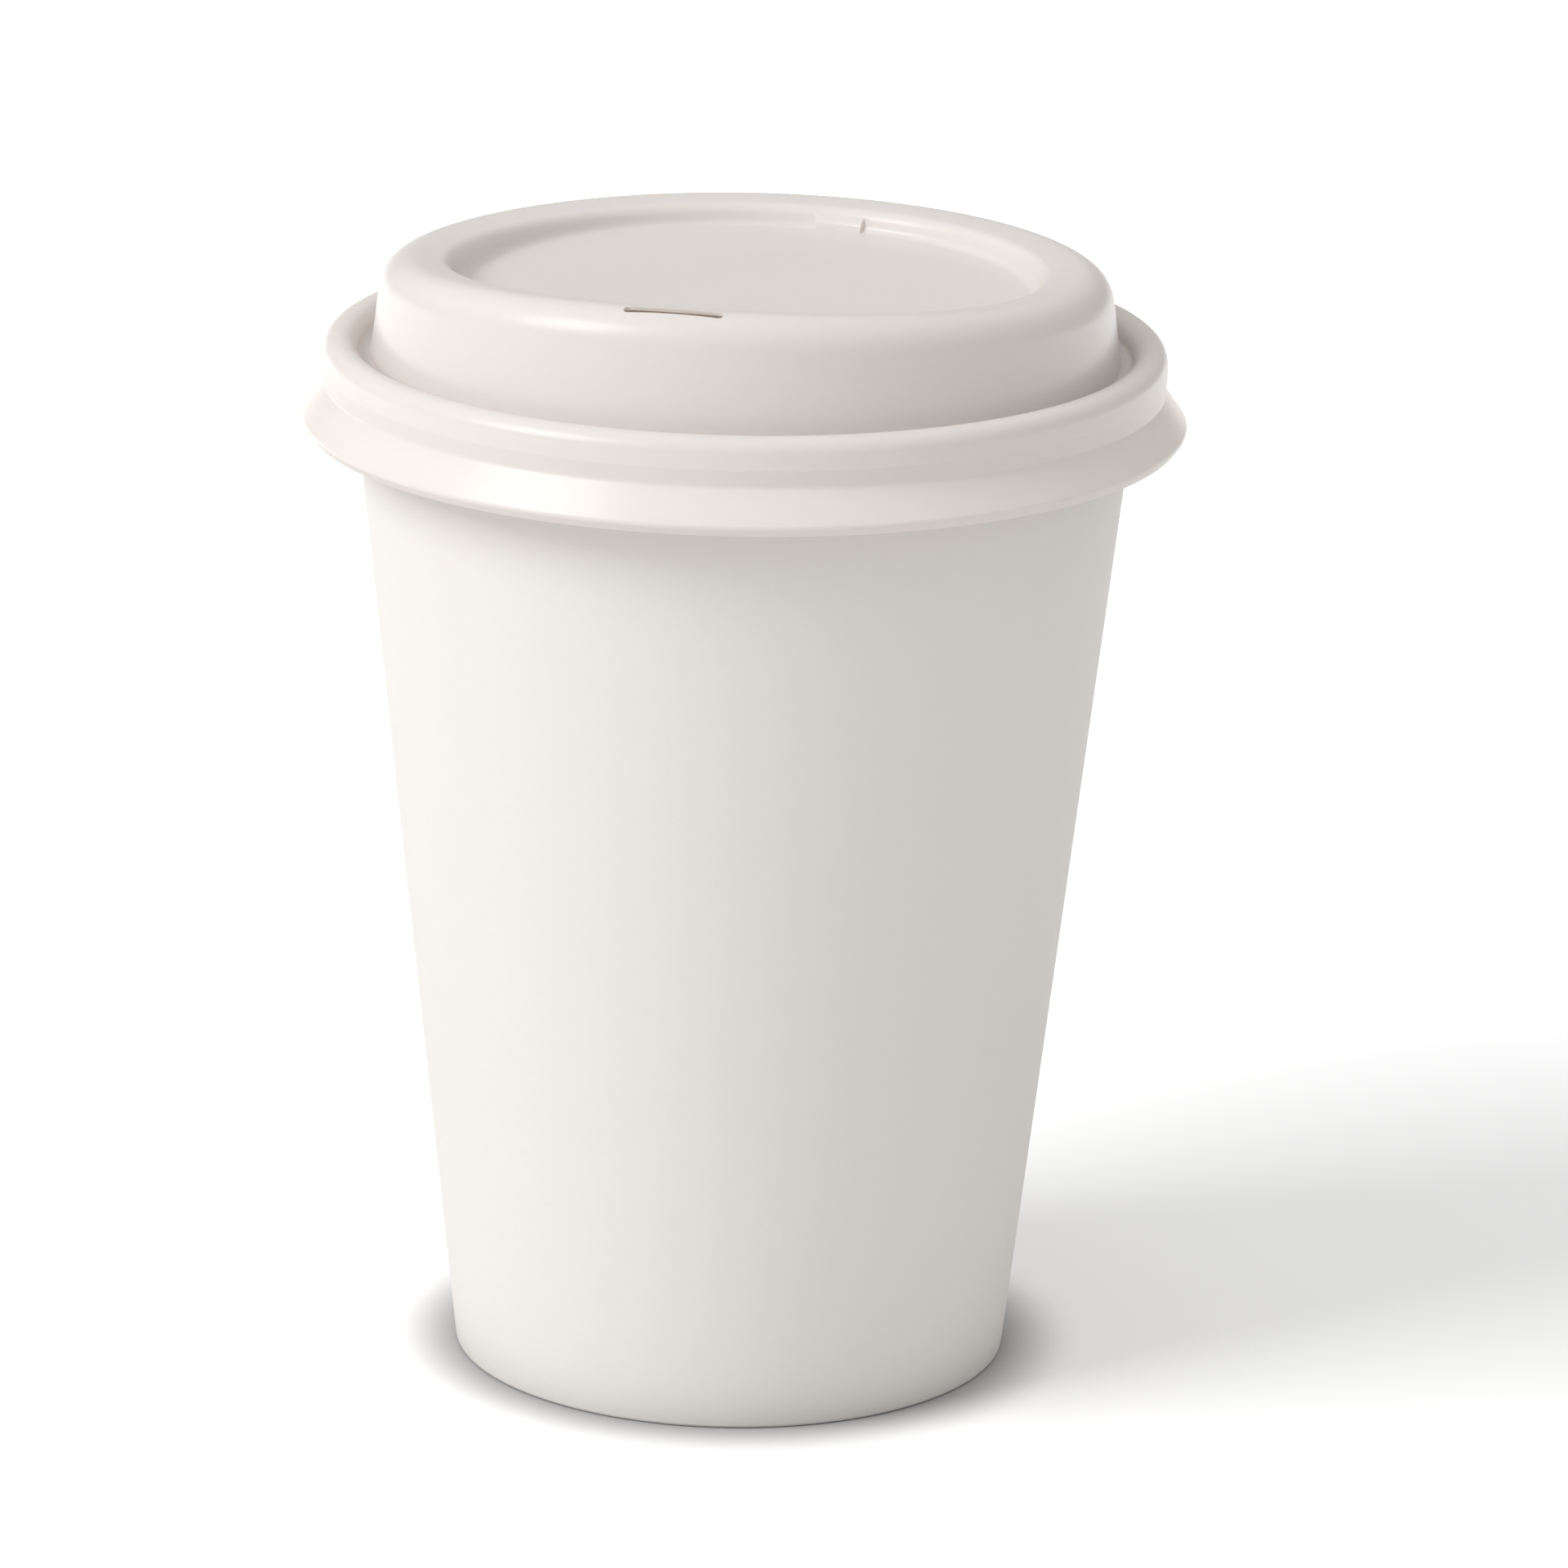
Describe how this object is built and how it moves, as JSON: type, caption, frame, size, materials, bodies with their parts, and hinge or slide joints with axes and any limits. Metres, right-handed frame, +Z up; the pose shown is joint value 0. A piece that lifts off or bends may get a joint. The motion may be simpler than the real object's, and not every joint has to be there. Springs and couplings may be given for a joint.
{
  "type": "paper coffee cup",
  "caption": "Plain white tapered paper cup for a hot drink, with a rolled rim, a folded foot, and a press-on domed sip lid with a sunken deck.",
  "frame": {"origin": "centre of the ring that the cup stands on", "axes": "+Z up along the cup's axis, -Y toward the viewer in the picture; the lid's mouth is 12 degrees to the left of -Y, and the glued side seam is at +Y"},
  "size_m": [0.0954, 0.0954, 0.125],
  "materials": {
    "cup_paper": "matt white cup paper with a faint fibre, thinly coated inside",
    "lid_plastic": "satin white thermoformed sheet"
  },
  "bodies": {
    "root": {"cup_sidewall": "cup_paper", "cup_bottom": "cup_paper", "sip_lid": "lid_plastic"}
  },
  "joints": []
}
